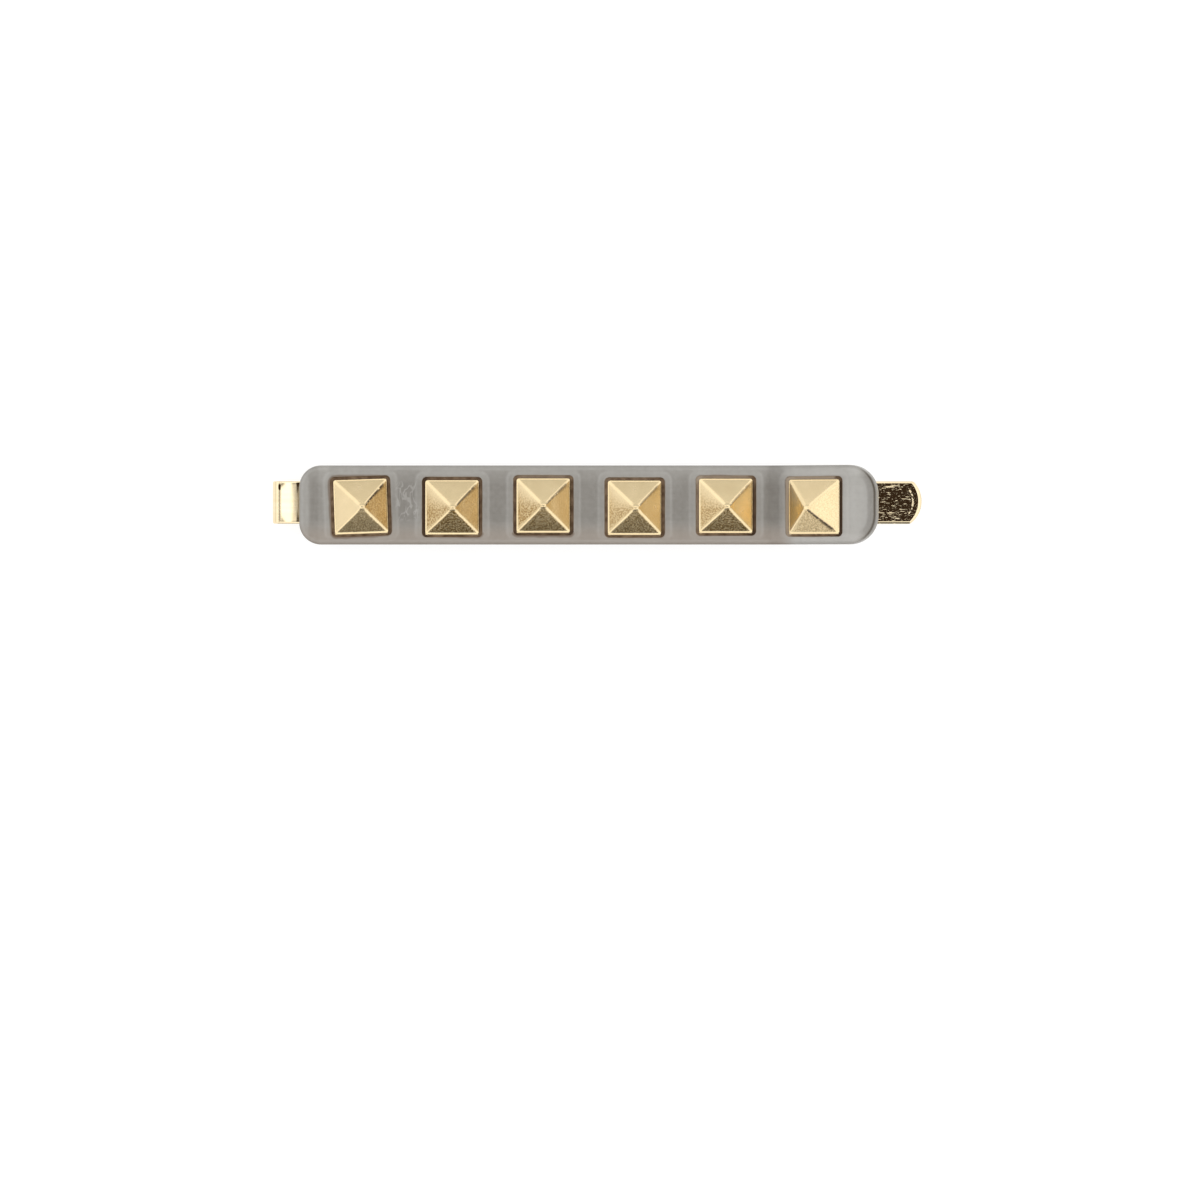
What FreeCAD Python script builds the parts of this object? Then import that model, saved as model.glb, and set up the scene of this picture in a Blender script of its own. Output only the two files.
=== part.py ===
import FreeCAD, Part
import math
import os
import Sketcher

# A decorative bobby pin. One flat spring strip is bent double: its lower leg is crimped into waves
# and ends in a bare tongue, and its upper leg carries an acetate bar set with pyramid studs.
# X runs along the pin, from the round bend at -X to the tongue at +X. Z is up, and the pin lies on
# the troughs of its waves and on the tongue's flat underside, at Z = 0.

# Driving dimensions, in millimetres. Angles are in degrees, and the two counts are plain numbers.
SIZES = {
    # spring strip
    "pin_length": 71.6,
    "strip_width": 4.7,
    "strip_thickness": 0.5,
    "strip_edge_radius": 0.14,
    "strip_side_shift": 0.3,
    # round bend, which stands a little above the upper leg and slopes down to it
    "eye_radius": 0.9,
    "eye_rise": 0.35,
    "eye_slope_length": 2.1,
    "seam_length": 0.6,
    # crimped waves of the lower leg, and its flat tongue
    "pinch_length": 2.2,
    "wave_height": 0.8,
    "wave_count": 4,
    "leg_gap": 0.1,
    "tongue_length": 17.6,
    "tongue_tip_radius": 3.1,
    "tongue_corner_radius": 0.7,
    "tongue_bevel_width": 0.45,
    "tongue_bevel_depth": 0.2,
    # acetate bar, turned up at its end
    "bar_setback": 3.0,
    "bar_flat_length": 51.4,
    "bar_width": 8.7,
    "bar_thickness": 1.7,
    "bar_start_corner_radius": 2.4,
    "bar_end_corner_radius": 3.2,
    "bar_top_edge_radius": 0.55,
    "bar_under_edge_radius": 0.25,
    "flare_angle": 21.7,
    "flare_bend_radius": 4.0,
    "flare_length": 11.05,
    "leg_end_setback": 4.2,
    # adhesive film under the bar
    "film_thickness": 0.1,
    "film_side_margin": 0.3,
    "film_end_margin": 1.5,
    # pyramid studs, stamped shells with a short skirt
    "stud_count": 6,
    "stud_side": 6.0,
    "stud_height": 1.97,
    "stud_skirt": 0.35,
    "stud_wall": 0.35,
    "stud_corner_radius": 0.25,
    "stud_tip_side": 0.3,
    "stud_tip_radius": 0.1,
    "stud_turn": 1.9,
    # recesses in the bar, the bar left around them, and the adhesive that beds the studs in them
    "start_margin": 3.5,
    "bend_margin": 1.18,
    "end_margin": 3.83,
    "recess_clearance": 0.3,
    "recess_depth": 0.65,
    "recess_corner_radius": 0.5,
    "bed_floor": 0.2,
    "bed_drop": 0.15,
}

# The flat studs are spread evenly between the start and the bend, and the last sits on the flare.
# Each was set by hand: its recess lies off the bar's middle line by a share of the clearance, and
# the first one is also turned.
STUD_SIDE_SHARES = (-0.5, -0.8, -0.15, -0.95, -0.25, -0.65)
STUD_TURN_SHARES = (1, 0, 0, 0, 0, 0)

# Two faces meet in a sharp edge where their normals agree by less than this share.
SMOOTH_SHARE = 0.9
# Two places count as one within this share of the strip's thickness.
TOUCH_SHARE = 0.001

ACROSS = FreeCAD.Vector(0, 1, 0)
UPWARD = FreeCAD.Vector(0, 0, 1)
QUARTER_TURN = math.radians(90)
# A recess, and the stud's rim and shoulder, as the expressions that drive them.
RECESS_SIDE = "sizes.stud_side + 2 * sizes.recess_clearance"
RIM_LEVEL = "sizes.bed_floor - sizes.recess_depth"
SHOULDER_LEVEL = f"{RIM_LEVEL} + sizes.stud_skirt"

doc = FreeCAD.newDocument("bobby_pin")
sheet = doc.addObject("Spreadsheet::Sheet", "sizes")
for row, (alias, value) in enumerate(SIZES.items(), start=1):
    sheet.set(f"A{row}", alias)
    sheet.set(f"B{row}", str(value))
    sheet.setAlias(f"B{row}", alias)
doc.recompute()


def size(alias):
    """One driving dimension, as the sheet holds it."""
    return float(sheet.get(alias))


# Places that several pieces share. A strip's place is that of its middle layer.
touch = size("strip_thickness") * TOUCH_SHARE
half_strip = size("strip_thickness") / 2
half_strip_width = size("strip_width") / 2
half_bar_width = size("bar_width") / 2
pin_start = -size("pin_length") / 2
pin_end = size("pin_length") / 2
eye_x = pin_start + size("eye_radius")
eye_middle_radius = size("eye_radius") - half_strip
trough_z = half_strip
crest_z = trough_z + size("wave_height")
upper_z = crest_z + size("strip_thickness") + size("leg_gap")
eye_z = upper_z + size("eye_rise") - eye_middle_radius
seam_x = eye_x + size("eye_slope_length") + size("seam_length")
tongue_x = pin_end - size("tongue_length")
film_z = upper_z + half_strip
bar_z = film_z + size("film_thickness")
bar_top_z = bar_z + size("bar_thickness")
bar_x = pin_start + size("bar_setback")
bend_x = bar_x + size("bar_flat_length")
bend_z = bar_top_z + size("flare_bend_radius")
flare = math.radians(size("flare_angle"))
leg_reach = size("flare_length") - size("leg_end_setback")
stud_count = round(size("stud_count"))
half_recess = size("stud_side") / 2 + size("recess_clearance")
first_stud_x = bar_x + size("start_margin") + half_recess
last_flat_stud_x = bend_x - size("bend_margin") - half_recess


def line(start, end):
    """A straight edge between two points of a sketch."""
    return Part.LineSegment(FreeCAD.Vector(*start, 0), FreeCAD.Vector(*end, 0))


def arc(centre, radius, first, last):
    """An arc of a sketch, from the first angle anticlockwise to the last."""
    circle = Part.Circle(FreeCAD.Vector(*centre, 0), UPWARD, radius)
    return Part.ArcOfCircle(circle, first, last)


def wave_edges(stations, offset):
    """Edges that lie level at each station of the strip, at one offset from its middle layer.

    Two stations at one height are joined by a line, and any other two by a pair of equal arcs.
    """
    edges = []
    for (x0, z0), (x1, z1) in zip(stations, stations[1:]):
        run = x1 - x0
        rise = z1 - z0
        if abs(rise) < touch:
            edges.append(line((x0, z0 + offset), (x1, z1 + offset)))
            continue
        radius = (run * run + rise * rise) / (4 * abs(rise))
        turn = 2 * math.atan2(abs(rise), run)
        if rise > 0:
            edges.append(arc((x0, z0 + radius), radius - offset, -QUARTER_TURN, turn - QUARTER_TURN))
            edges.append(arc((x1, z1 - radius), radius + offset, QUARTER_TURN, QUARTER_TURN + turn))
        else:
            edges.append(arc((x0, z0 - radius), radius + offset, QUARTER_TURN - turn, QUARTER_TURN))
            edges.append(arc((x1, z1 + radius), radius - offset, -QUARTER_TURN - turn, -QUARTER_TURN))
    return edges


def flare_point(height, along):
    """Where the layer at this height comes to, so far along the turned-up end."""
    radius = bend_z - height
    x = bend_x + radius * math.sin(flare) + along * math.cos(flare)
    z = bend_z - radius * math.cos(flare) + along * math.sin(flare)
    return (x, z)


def layer_outline(start_x, low, high, along):
    """Side view of a layer that lies flat, bends up, and ends square to the turned-up end."""
    edges = [line((start_x, low), (start_x, high))]
    for height in (low, high):
        edges.append(line((start_x, height), (bend_x, height)))
        edges.append(arc((bend_x, bend_z), bend_z - height, -QUARTER_TURN, flare - QUARTER_TURN))
        edges.append(line(flare_point(height, 0), flare_point(height, along)))
    edges.append(line(flare_point(low, along), flare_point(high, along)))
    return edges


def layer_height(place):
    """The height that a point of the bent layers has where they lie flat."""
    run = place.X - bend_x
    drop = bend_z - place.Z
    if run <= 0:
        return place.Z
    if math.atan2(run, drop) <= flare:
        return bend_z - math.hypot(run, drop)
    return bend_z - (run * math.sin(flare) + drop * math.cos(flare))


def new_body(name):
    """An empty body whose label names its file."""
    body = doc.addObject("PartDesign::Body", name)
    body.Label = name
    return body


def new_sketch(body, role, name, level=None):
    """A sketch on one of the body's own origin planes, raised to a level where one is given."""
    sketch = body.newObject("Sketcher::SketchObject", name)
    plane = next(feature for feature in body.Origin.OriginFeatures if feature.Role == role)
    sketch.AttachmentSupport = [(plane, "")]
    sketch.MapMode = "FlatFace"
    if level is not None:
        sketch.setExpression("AttachmentOffset.Base.z", level)
    return sketch


def pad_side_view(body, outline, width):
    """A pad of a side view to both sides of the body's middle. The width is an expression."""
    sketch = new_sketch(body, "XZ_Plane", "side_view")
    sketch.addGeometry(outline, False)
    pad = body.newObject("PartDesign::Pad", "width")
    pad.Profile = sketch
    pad.SideType = "Symmetric"
    pad.setExpression("Length", width)
    doc.recompute()
    return pad


def round_edges(body, base, test, radius, name):
    """A fillet of the edges that pass a test. The radius is an expression."""
    fillet = body.newObject("PartDesign::Fillet", name)
    fillet.Base = (base, edges_that(base.Shape, test))
    fillet.setExpression("Radius", radius)
    doc.recompute()
    return fillet


def edges_that(shape, test):
    """Names of the edges that pass a test."""
    return [f"Edge{count}" for count, edge in enumerate(shape.Edges, start=1) if test(shape, edge)]


def is_sharp(shape, edge):
    """True where two faces meet at an angle, and false where one runs smoothly into the next."""
    middle = edge.valueAt((edge.FirstParameter + edge.LastParameter) / 2)
    normals = []
    for face in shape.ancestorsOfType(edge, Part.Face):
        normals.append(face.normalAt(*face.Surface.parameter(middle)))
    return len(normals) == 2 and normals[0].dot(normals[1]) < SMOOTH_SHARE


def is_on_side(edge, half_width):
    """True where an edge lies in one of the piece's two long sides."""
    return all(abs(abs(place.Y) - half_width) < touch for place in edge.Vertexes)


def stands_up(edge):
    """True for a straight edge that stands on end, as those at the ends of a side view do."""
    start, end = edge.Vertexes[0].Point, edge.Vertexes[-1].Point
    return abs((end - start).z) > SMOOTH_SHARE * edge.Length


def is_long_edge(shape, edge):
    """One of the strip's four long edges, or a stretch of it."""
    on_side = is_on_side(edge, half_strip_width)
    return on_side and is_sharp(shape, edge) and not (stands_up(edge) and is_straight(edge))


def is_straight(edge):
    return isinstance(edge.Curve, Part.Line)


def roll_strip_edges(body, base):
    """The strip's long edges are rolled soft, and the strip lies a little to one side of the bar."""
    round_edges(body, base, is_long_edge, "sizes.strip_edge_radius", "rolled_edges")
    body.setExpression("Placement.Base.y", "sizes.strip_side_shift")


def add_rounded_square(sketch, side, radius):
    """A square about the sketch's origin, with round corners. Side and radius are expressions."""
    half = sheet.evalExpression(side) / 2
    corner = sheet.evalExpression(radius)
    inner = half - corner
    lines = []
    arcs = []
    for quarter in range(4):
        spin = FreeCAD.Rotation(UPWARD, math.degrees(quarter * QUARTER_TURN))
        start = spin.multVec(FreeCAD.Vector(-inner, -half, 0))
        end = spin.multVec(FreeCAD.Vector(inner, -half, 0))
        centre = spin.multVec(FreeCAD.Vector(inner, -inner, 0))
        first = (quarter - 1) * QUARTER_TURN
        rounding = arc((centre.x, centre.y), corner, first, first + QUARTER_TURN)
        lines.append(sketch.addGeometry(Part.LineSegment(start, end), False))
        arcs.append(sketch.addGeometry(rounding, False))
    for quarter in range(4):
        following = lines[(quarter + 1) % 4]
        level = "Vertical" if quarter % 2 else "Horizontal"
        sketch.addConstraint(Sketcher.Constraint(level, lines[quarter]))
        sketch.addConstraint(Sketcher.Constraint("Tangent", lines[quarter], 2, arcs[quarter], 1))
        sketch.addConstraint(Sketcher.Constraint("Tangent", arcs[quarter], 2, following, 1))
    for rounding in arcs[1:]:
        sketch.addConstraint(Sketcher.Constraint("Equal", arcs[0], rounding))
    sketch.addConstraint(Sketcher.Constraint("Symmetric", arcs[0], 3, arcs[2], 3, -1, 1))
    wide = sketch.addConstraint(Sketcher.Constraint("DistanceX", lines[3], 1, lines[1], 1, 2 * half))
    deep = sketch.addConstraint(Sketcher.Constraint("DistanceY", lines[0], 1, lines[2], 1, 2 * half))
    bend = sketch.addConstraint(Sketcher.Constraint("Radius", arcs[0], corner))
    sketch.setExpression(f"Constraints[{wide}]", side)
    sketch.setExpression(f"Constraints[{deep}]", side)
    sketch.setExpression(f"Constraints[{bend}]", radius)


def loft(body, kind, name, sections):
    """A loft between two rounded squares, each given as (level, side, radius) in expressions."""
    outlines = []
    for number, (level, side, radius) in enumerate(sections, start=1):
        sketch = new_sketch(body, "XY_Plane", f"{name}_section_{number}", level)
        add_rounded_square(sketch, side, radius)
        outlines.append(sketch)
    feature = body.newObject(kind, name)
    feature.Profile = outlines[0]
    feature.Sections = outlines[1:]
    feature.Ruled = True
    doc.recompute()
    return feature


# Lower leg: from the foot of the round bend, through the crimped waves, to the tongue's tip.
def make_lower_leg():
    body = new_body("lower_leg")
    first_crest = eye_x + size("pinch_length")
    half_waves = 2 * round(size("wave_count")) + 1
    half_wave = (tongue_x - first_crest) / half_waves
    stations = [(eye_x, eye_z - eye_middle_radius)]
    for count in range(half_waves + 1):
        height = trough_z if count % 2 else crest_z
        stations.append((first_crest + count * half_wave, height))
    stations.append((pin_end, trough_z))
    outline = wave_edges(stations, half_strip) + wave_edges(stations, -half_strip)
    for x, z in (stations[0], stations[-1]):
        outline.append(line((x, z - half_strip), (x, z + half_strip)))
    strip = pad_side_view(body, outline, "sizes.strip_width")

    # The tip is a shallow arc in plan, with its two corners eased and its top edge bevelled.
    tip_radius = max(size("tongue_tip_radius"), half_strip_width)
    tip_turn = math.asin(half_strip_width / tip_radius)
    tip_centre = pin_end - tip_radius
    corner_x = tip_centre + tip_radius * math.cos(tip_turn)
    beyond = pin_end + size("strip_thickness")
    frame = [(corner_x, half_strip_width), (beyond, half_strip_width)]
    frame += [(x, -y) for x, y in reversed(frame)]
    sketch = new_sketch(body, "XY_Plane", "tip_outline")
    sketch.addGeometry([line(start, end) for start, end in zip(frame, frame[1:])], False)
    sketch.addGeometry(arc((tip_centre, 0), tip_radius, -tip_turn, tip_turn), False)
    tip = body.newObject("PartDesign::Pocket", "tip")
    tip.Profile = sketch
    tip.SideType = "Symmetric"
    tip.Type = "ThroughAll"
    doc.recompute()

    def is_tip_corner(shape, edge):
        return stands_up(edge) and abs(edge.CenterOfMass.x - corner_x) < touch

    def is_tip_top(shape, edge):
        middle = edge.CenterOfMass
        on_top = abs(middle.z - size("strip_thickness")) < touch and middle.x > tip_centre
        return on_top and not is_straight(edge) and is_sharp(shape, edge)

    corners = round_edges(body, tip, is_tip_corner, "sizes.tongue_corner_radius", "tip_corners")
    bevel = body.newObject("PartDesign::Chamfer", "tip_bevel")
    bevel.Base = (corners, edges_that(corners.Shape, is_tip_top))
    bevel.ChamferType = "Two distances"
    bevel.setExpression("Size", "sizes.tongue_bevel_depth")
    bevel.setExpression("Size2", "sizes.tongue_bevel_width")
    doc.recompute()
    roll_strip_edges(body, bevel)
    return body


# Round bend: the half turn of the strip, and the slope from its crest down to the upper leg.
def make_spring_bend():
    body = new_body("spring_bend")
    slope_end = eye_x + size("eye_slope_length")
    stations = [(eye_x, eye_z + eye_middle_radius), (slope_end, upper_z), (seam_x, upper_z)]
    outline = wave_edges(stations, half_strip) + wave_edges(stations, -half_strip)
    for radius in (eye_middle_radius - half_strip, eye_middle_radius + half_strip):
        outline.append(arc((eye_x, eye_z), radius, QUARTER_TURN, 3 * QUARTER_TURN))
    for x, z in ((eye_x, eye_z - eye_middle_radius), stations[-1]):
        outline.append(line((x, z - half_strip), (x, z + half_strip)))
    strip = pad_side_view(body, outline, "sizes.strip_width")
    roll_strip_edges(body, strip)
    return body


# Upper leg: straight under the bar, then turned up with it, and hidden short of the bar's end.
def make_upper_leg():
    body = new_body("upper_leg")
    outline = layer_outline(seam_x, upper_z - half_strip, film_z, leg_reach)
    strip = pad_side_view(body, outline, "sizes.strip_width")
    roll_strip_edges(body, strip)
    return body


# Adhesive film between the upper leg and the bar, set back from the strip's edges and ends.
def make_bar_adhesive():
    body = new_body("bar_adhesive")
    reach = leg_reach - size("film_end_margin")
    outline = layer_outline(bar_x + size("film_end_margin"), film_z, bar_z, reach)
    pad_side_view(body, outline, "sizes.strip_width - 2 * sizes.film_side_margin")
    body.setExpression("Placement.Base.y", "sizes.strip_side_shift")
    return body


def seat(number):
    """Where a stud's recess lies in the bar's top face, with the stud's own turn."""
    side = STUD_SIDE_SHARES[number % len(STUD_SIDE_SHARES)] * size("recess_clearance")
    turn = STUD_TURN_SHARES[number % len(STUD_TURN_SHARES)] * size("stud_turn")
    spin = FreeCAD.Rotation(UPWARD, turn)
    if number < stud_count - 1:
        share = number / max(stud_count - 2, 1)
        x = first_stud_x + share * (last_flat_stud_x - first_stud_x)
        return FreeCAD.Placement(FreeCAD.Vector(x, side, bar_top_z), spin)
    x, z = flare_point(bar_top_z, size("flare_length") - size("end_margin") - half_recess)
    tilt = FreeCAD.Rotation(-ACROSS, size("flare_angle"))
    return FreeCAD.Placement(FreeCAD.Vector(x, side, z), tilt * spin)


# Bar: flat, turned up at its end, round in plan at both ends, with a recess for each stud.
def make_bar():
    body = new_body("bar")

    def is_start_corner(shape, edge):
        return is_on_side(edge, half_bar_width) and stands_up(edge) and edge.CenterOfMass.x < bend_x

    def is_end_corner(shape, edge):
        return is_on_side(edge, half_bar_width) and stands_up(edge) and edge.CenterOfMass.x > bend_x

    def is_top_rim(shape, edge):
        level = all(abs(layer_height(place) - bar_top_z) < touch for place in edge.Vertexes)
        return level and is_sharp(shape, edge)

    def is_under_rim(shape, edge):
        level = all(abs(layer_height(place) - bar_z) < touch for place in edge.Vertexes)
        return level and is_sharp(shape, edge)

    outline = layer_outline(bar_x, bar_z, bar_top_z, size("flare_length"))
    slab = pad_side_view(body, outline, "sizes.bar_width")
    slab = round_edges(body, slab, is_start_corner, "sizes.bar_start_corner_radius", "start_corners")
    slab = round_edges(body, slab, is_end_corner, "sizes.bar_end_corner_radius", "end_corners")
    slab = round_edges(body, slab, is_top_rim, "sizes.bar_top_edge_radius", "top_edges")
    round_edges(body, slab, is_under_rim, "sizes.bar_under_edge_radius", "under_edges")

    for number in range(stud_count):
        sketch = new_sketch(body, "XY_Plane", f"recess_outline_{number + 1}")
        sketch.AttachmentOffset = seat(number)
        add_rounded_square(sketch, RECESS_SIDE, "sizes.recess_corner_radius")
        recess = body.newObject("PartDesign::Pocket", f"recess_{number + 1}")
        recess.Profile = sketch
        recess.setExpression("Length", "sizes.recess_depth")
        doc.recompute()
    return body


def hollow_sections():
    """The hollow inside a stud's shell, from its rim to under its tip."""
    inside = "sizes.stud_side - 2 * sizes.stud_wall"
    peak = f"{SHOULDER_LEVEL} + sizes.stud_height - sizes.stud_wall"
    return [
        (RIM_LEVEL, inside, "sizes.stud_corner_radius"),
        (peak, "sizes.stud_tip_side", "sizes.stud_tip_radius"),
    ]


# Stud: a square shell with a short skirt and four flat slopes, hollow underneath.
def make_stud(number):
    body = new_body(f"stud_{number + 1}")
    sketch = new_sketch(body, "XY_Plane", "skirt_outline", RIM_LEVEL)
    add_rounded_square(sketch, "sizes.stud_side", "sizes.stud_corner_radius")
    skirt = body.newObject("PartDesign::Pad", "skirt")
    skirt.Profile = sketch
    skirt.setExpression("Length", "sizes.stud_skirt")
    peak = f"{SHOULDER_LEVEL} + sizes.stud_height"
    slopes = [
        (SHOULDER_LEVEL, "sizes.stud_side", "sizes.stud_corner_radius"),
        (peak, "sizes.stud_tip_side", "sizes.stud_tip_radius"),
    ]
    loft(body, "PartDesign::AdditiveLoft", "slopes", slopes)
    loft(body, "PartDesign::SubtractiveLoft", "hollow", hollow_sections())
    body.Placement = seat(number)
    return body


# Stud bed: adhesive that fills the recess's floor and margin, and the hollow of the shell.
def make_stud_bed(number):
    body = new_body(f"stud_bed_{number + 1}")
    sketch = new_sketch(body, "XY_Plane", "recess_outline", "-sizes.bed_drop")
    add_rounded_square(sketch, RECESS_SIDE, "sizes.recess_corner_radius")
    fill = body.newObject("PartDesign::Pad", "fill")
    fill.Profile = sketch
    fill.Reversed = True
    fill.setExpression("Length", "sizes.recess_depth - sizes.bed_drop")
    sketch = new_sketch(body, "XY_Plane", "skirt_outline", "-sizes.bed_drop")
    add_rounded_square(sketch, "sizes.stud_side", "sizes.stud_corner_radius")
    print_of_skirt = body.newObject("PartDesign::Pocket", "print_of_skirt")
    print_of_skirt.Profile = sketch
    print_of_skirt.setExpression("Length", "sizes.recess_depth - sizes.bed_drop - sizes.bed_floor")
    loft(body, "PartDesign::AdditiveLoft", "core", hollow_sections())
    body.Placement = seat(number)
    return body


pieces = [make_lower_leg(), make_spring_bend(), make_upper_leg(), make_bar_adhesive(), make_bar()]
for number in range(stud_count):
    pieces.append(make_stud(number))
    pieces.append(make_stud_bed(number))
doc.recompute()

for thing in doc.Objects:
    if "Invalid" in thing.State or "Error" in thing.State:
        raise RuntimeError(f"{thing.Label} failed: {thing.getStatusString()}")
for piece in pieces:
    shape = piece.Shape
    if shape.isNull() or not shape.isValid() or len(shape.Solids) != 1:
        raise RuntimeError(f"{piece.Label} is not one valid solid")

os.makedirs("parts", exist_ok=True)
for piece in pieces:
    piece.Shape.exportStep(f"parts/{piece.Label}.step")
    box = piece.Shape.BoundBox
    print(f"{piece.Label}: {piece.Shape.Volume:.2f} mm3, x {box.XMin:.2f} to {box.XMax:.2f},"
          f" y {box.YMin:.2f} to {box.YMax:.2f}, z {box.ZMin:.2f} to {box.ZMax:.2f}")
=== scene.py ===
import bpy
import math
import numpy as np
from mathutils import Matrix, Vector


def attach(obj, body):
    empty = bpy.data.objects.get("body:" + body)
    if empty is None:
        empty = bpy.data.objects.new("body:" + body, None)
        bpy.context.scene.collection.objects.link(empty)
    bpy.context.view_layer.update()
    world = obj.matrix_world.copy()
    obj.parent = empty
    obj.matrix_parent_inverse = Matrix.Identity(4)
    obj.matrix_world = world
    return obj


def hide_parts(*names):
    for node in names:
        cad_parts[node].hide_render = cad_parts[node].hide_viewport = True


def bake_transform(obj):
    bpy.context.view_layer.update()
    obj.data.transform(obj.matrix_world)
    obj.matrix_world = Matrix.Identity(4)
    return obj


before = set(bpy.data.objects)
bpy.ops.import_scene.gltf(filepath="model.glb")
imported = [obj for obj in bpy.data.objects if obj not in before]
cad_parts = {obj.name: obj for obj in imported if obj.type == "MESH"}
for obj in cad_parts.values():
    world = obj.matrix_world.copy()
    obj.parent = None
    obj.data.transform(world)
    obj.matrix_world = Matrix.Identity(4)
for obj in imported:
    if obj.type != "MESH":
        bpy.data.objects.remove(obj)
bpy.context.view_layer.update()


# Spring strip, lower leg: the half of the flat gold-plated spring steel strip that lies in the
# hair. It is crimped into waves, and its bare tongue is cut to a shallow arc and bevelled on top.
# Its edges are rolled soft, as drawn flat wire has them. All sizes here are in millimetres.
MM = 0.001
STRIP_HALF_WIDTH = 2.35
STRIP_HALF_THICKNESS = 0.25
STRIP_SIDE_SHIFT = 0.3
STRIP_COLUMNS = 40
# How far each face has rolled in at a distance from the edge. The near edge is rolled harder.
FAR_EDGE_ROLL = [
    (0.36, 0.0), (0.3, 0.001), (0.24, 0.0035), (0.18, 0.008), (0.13, 0.015), (0.09, 0.026),
    (0.055, 0.045), (0.03, 0.075), (0.01, 0.12), (0.0, 0.2),
]
NEAR_EDGE_ROLL = [
    (0.285, 0.0), (0.275, 0.0005), (0.265, 0.002), (0.24, 0.0075), (0.215, 0.0135),
    (0.205, 0.0185), (0.17, 0.045), (0.12, 0.083), (0.07, 0.121), (0.03, 0.151), (0.01, 0.167),
    (0.0, 0.205),
]
EYE_X = -34.9
EYE_Z = 1.35
EYE_RADIUS = 0.65
FIRST_CREST_X = -32.7
CREST_Z = 1.05
TROUGH_Z = 0.25
HALF_WAVES = 9
ARC_STEPS = 10
TONGUE_X = 18.2
TONGUE_STEP = 0.6
TONGUE_STEPS = 19
# The tongue's rows run straight across it at first, and take on the tip's arc step by step.
ARC_BACK = 5.6
ARC_STEP = 0.25
ARC_ROWS = 12
TIP_ROWS = (2.6, 2.2, 1.8, 1.4, 1.0, 0.8, 0.6, 0.5, 0.38, 0.36, 0.28, 0.2, 0.12, 0.08, 0.06, 0.04,
            0.02, 0.0)
TIP_X = 35.78
TIP_RADIUS = 3.1
TIP_SIDE_SHIFT = 0.15
TIP_CORNER = 0.15
# Each cut at the tip has a width along the tongue and a depth.
TIP_BEVEL = (0.36, 0.155)
TIP_NOSE = (0.08, 0.07)
TIP_UNDERCUT = (0.12, 0.06)


def crimped_path(stations):
    """Side view of the strip's middle through level stations, as places with the slope at each."""
    path = [(stations[0][0], stations[0][1], 0.0)]
    for (x0, z0), (x1, z1) in zip(stations, stations[1:]):
        run, rise = x1 - x0, z1 - z0
        radius = (run * run + rise * rise) / (4 * abs(rise))
        turn = 2 * math.atan2(abs(rise), run)
        way = math.copysign(1, rise)
        for step in range(1, ARC_STEPS + 1):
            angle = turn * step / ARC_STEPS
            z = z0 + way * radius * (1 - math.cos(angle))
            path.append((x0 + radius * math.sin(angle), z, way * angle))
        for step in range(ARC_STEPS - 1, -1, -1):
            angle = turn * step / ARC_STEPS
            z = z1 - way * radius * (1 - math.cos(angle))
            path.append((x1 - radius * math.sin(angle), z, way * angle))
    return path


def strip_section(near_roll):
    """The strip's section, as points (along, across, out) over its top and back under it."""
    far_inner = STRIP_HALF_WIDTH - FAR_EDGE_ROLL[0][0]
    near_inner = STRIP_HALF_WIDTH - near_roll[0][0]
    columns = [(back - STRIP_HALF_WIDTH, drop) for back, drop in reversed(near_roll)]
    for count in range(1, STRIP_COLUMNS):
        columns.append((-near_inner + (far_inner + near_inner) * count / STRIP_COLUMNS, 0.0))
    columns += [(STRIP_HALF_WIDTH - back, drop) for back, drop in FAR_EDGE_ROLL]
    top = [(0.0, y, STRIP_HALF_THICKNESS - drop) for y, drop in columns]
    return top + [(along, y, -out) for along, y, out in reversed(top)]


def new_piece(name, points, faces, sharp_angle):
    """A piece from points in metres, smooth but for edges above an angle in degrees."""
    mesh = bpy.data.meshes.new(name)
    mesh.from_pydata(points, [], faces)
    mesh.shade_smooth()
    mesh.set_sharp_from_angle(angle=math.radians(sharp_angle))
    piece = bpy.data.objects.new(name, mesh)
    bpy.context.scene.collection.objects.link(piece)
    return piece


def swept_strip(name, rows):
    """A length of strip from rows of (place, slope, section)."""
    points = []
    for (x, z), slope, section in rows:
        for along, y, out in section:
            place_x = x + along * math.cos(slope) - out * math.sin(slope)
            place_z = z + along * math.sin(slope) + out * math.cos(slope)
            points.append((place_x * MM, (y + STRIP_SIDE_SHIFT) * MM, place_z * MM))
    count = len(rows[0][2])
    faces = []
    for row in range(len(rows) - 1):
        for place in range(count):
            a, b = row * count + place, row * count + (place + 1) % count
            faces.append((a, b, b + count, a + count))
    last = (len(rows) - 1) * count
    for place in range(count // 2 - 1):
        opposite = count - 1 - place
        faces.append((place, opposite, opposite - 1, place + 1))
        faces.append((last + place + 1, last + opposite - 1, last + opposite, last + place))
    return new_piece(name, points, faces, 50)


def tip_reach(y):
    """How far the tongue reaches in X, so far from its middle. Its corners are only just broken."""
    reach = TIP_X - TIP_RADIUS + math.sqrt(TIP_RADIUS ** 2 - (y - TIP_SIDE_SHIFT) ** 2)
    in_corner = max(abs(y) - STRIP_HALF_WIDTH + TIP_CORNER, 0.0)
    return reach - TIP_CORNER + math.sqrt(max(TIP_CORNER ** 2 - in_corner ** 2, 0.0))


def cut_away(cut, back, power=1):
    """How deep a cut of a width and depth is, so far back from the tip."""
    width, depth = cut
    return depth * max(1 - back / width, 0.0) ** power


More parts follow.
